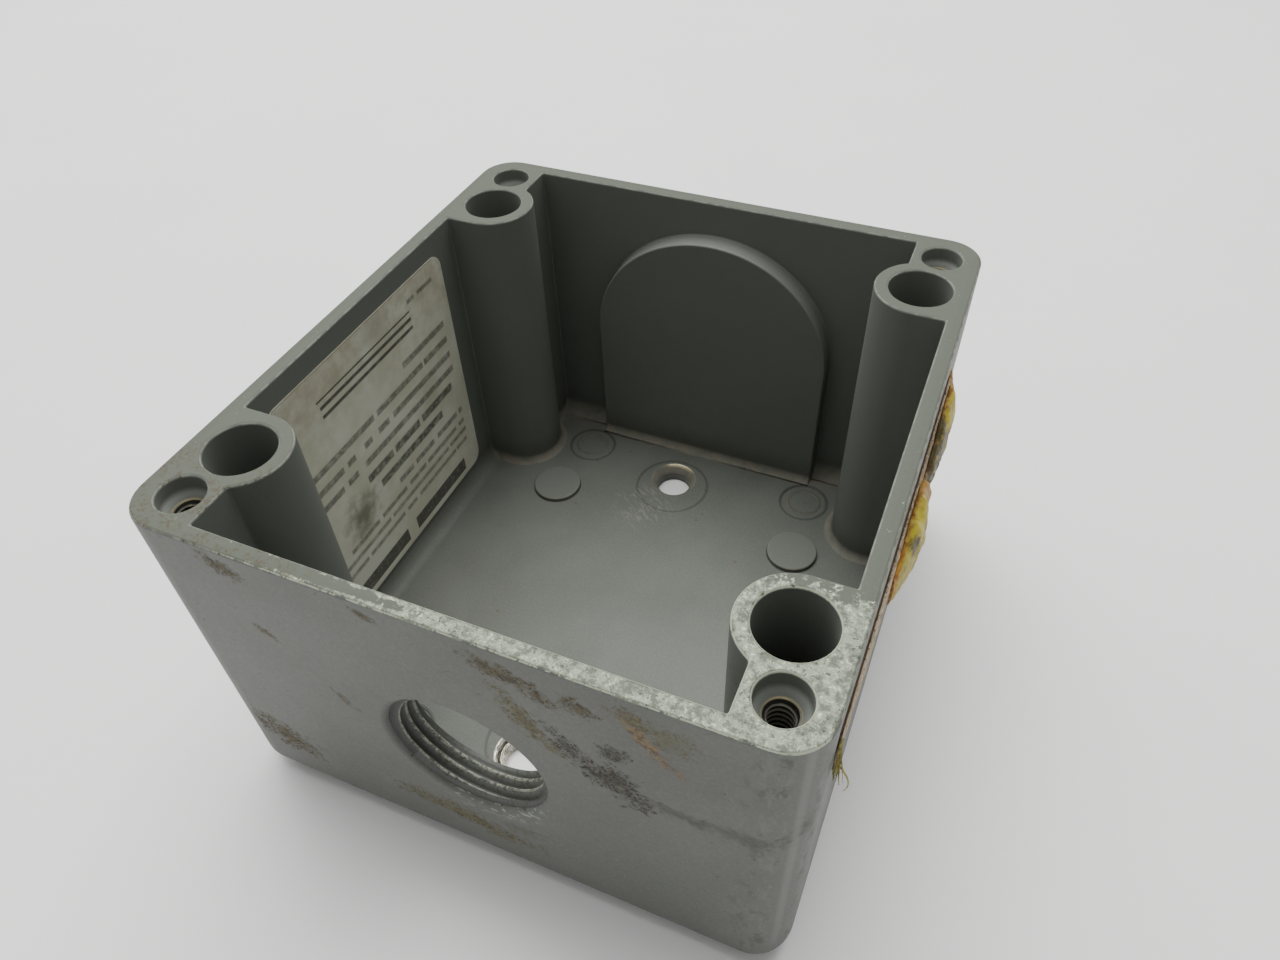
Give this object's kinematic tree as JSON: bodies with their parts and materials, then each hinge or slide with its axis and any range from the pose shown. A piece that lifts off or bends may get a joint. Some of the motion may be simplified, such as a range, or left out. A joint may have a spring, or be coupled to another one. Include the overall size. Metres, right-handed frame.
{
  "type": "control station enclosure base",
  "caption": "Open-topped rectangular die-cast enclosure base with four corner bosses, tapped cover-screw corners, a threaded conduit entry and blank conduit pad.",
  "frame": {"origin": "centre of the flat back face, on the plane the enclosure lies on", "axes": "+Z out of the open rim, -Y out of the threaded conduit entry in the front wall, +X to the right when that wall faces the viewer"},
  "size_m": [0.1048, 0.1112, 0.068],
  "materials": {
    "painted_casting": "satin grey paint, worn to bare aluminium on the rim",
    "label_film": "matt off-white, dirty",
    "dark_film": "matt dark brown",
    "cream_backing": "matt, fibrous",
    "aged_adhesive": "glossy amber, translucent",
    "torn_film": "matt, torn and fibrous"
  },
  "bodies": {
    "root": {"cast_body": "painted_casting", "instruction_label": "label_film", "adhesive_film": "dark_film", "backing_strip": "cream_backing", "adhesive_lump_rear": "aged_adhesive", "adhesive_lump_front": "aged_adhesive", "torn_film_shred": "torn_film"}
  },
  "joints": []
}
